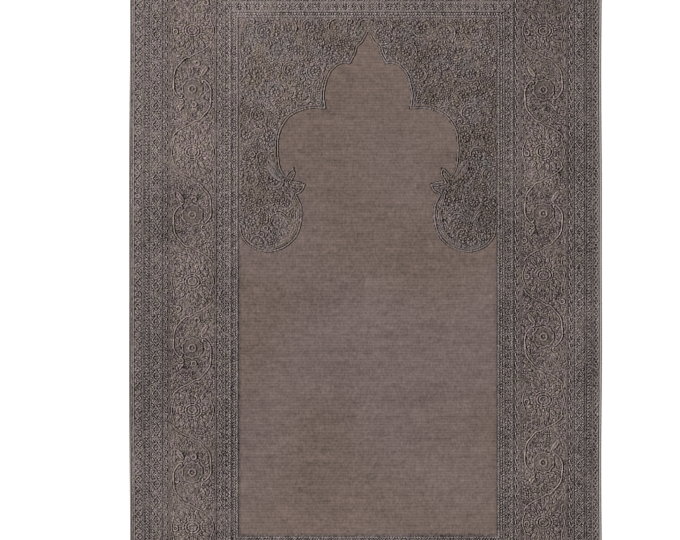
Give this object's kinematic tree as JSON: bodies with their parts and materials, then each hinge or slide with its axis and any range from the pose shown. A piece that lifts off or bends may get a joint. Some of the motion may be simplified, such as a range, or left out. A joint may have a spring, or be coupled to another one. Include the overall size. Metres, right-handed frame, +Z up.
{
  "type": "prayer rug",
  "caption": "Flat rectangular prayer rug with an embossed arched niche, a scrolled flower border and overlocked edges, laid out on a floor.",
  "frame": {"origin": "on the floor, under the middle of the rug's flat underside", "axes": "+Z up out of the pile, +Y along the length towards the niche's point, +X to the right seen from above"},
  "size_m": [0.8, 1.24, 0.0082],
  "materials": {
    "pile": "short dense taupe pile, embossed, matt with a faint sheen",
    "edging": "lighter grey-taupe overlocking yarn, matt"
  },
  "bodies": {
    "root": {"rug": "pile", "edging_left": "edging", "edging_right": "edging", "edging_top": "edging", "edging_bottom": "edging"}
  },
  "joints": []
}
